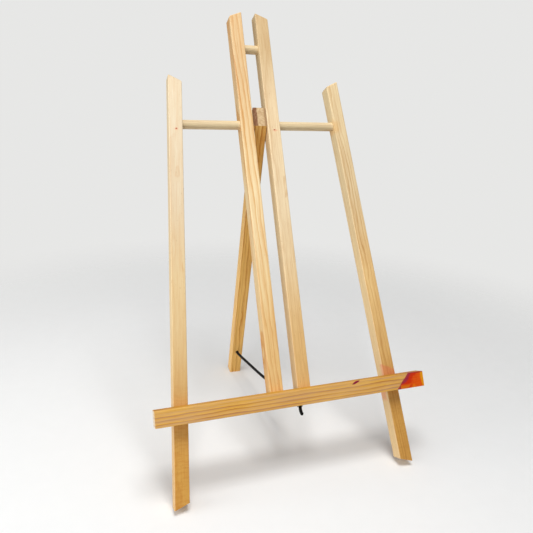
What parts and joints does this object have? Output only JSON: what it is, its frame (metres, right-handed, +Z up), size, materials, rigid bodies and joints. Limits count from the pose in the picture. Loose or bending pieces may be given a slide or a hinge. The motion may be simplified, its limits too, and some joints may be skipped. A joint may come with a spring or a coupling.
{
  "type": "table easel",
  "caption": "Folding wooden table easel: splayed front legs, two uprights and a canvas shelf in one leaning plane, with a cord-stopped rear leg hinged on a cross dowel.",
  "frame": {"origin": "on the standing surface, in the middle of the easel's footprint box as it stands open without its cord", "axes": "+X to the right as seen from the canvas side, +Y to the back, +Z up; the canvas side faces -Y"},
  "size_m": [0.302, 0.2664, 0.48],
  "materials": {
    "pine": "planed, unvarnished",
    "honey_pine": "planed, unvarnished",
    "dowel_wood": "turned, unvarnished",
    "brad_steel": "bright wire, slightly rusted",
    "black_cord": "braided"
  },
  "bodies": {
    "frame": {"left_leg": "pine", "right_leg": "pine", "left_stile": "pine", "right_stile": "pine", "shelf": "honey_pine", "cross_dowel": "dowel_wood", "spacer_dowel": "dowel_wood", "dowel_brads": "brad_steel", "shelf_brads": "brad_steel", "cord_staple": "brad_steel"},
    "rear_leg": {"rear_leg": "honey_pine", "cord": "black_cord", "cord_knot": "black_cord"}
  },
  "joints": [
    {"name": "rear_leg_fold", "type": "hinge", "parent": "frame", "child": "rear_leg", "pos_m": [-0.0044, 0.05366, 0.35693], "axis": [-1, 0, 0], "range_deg": [0, 38.6], "deforming": ["cord"]}
  ]
}
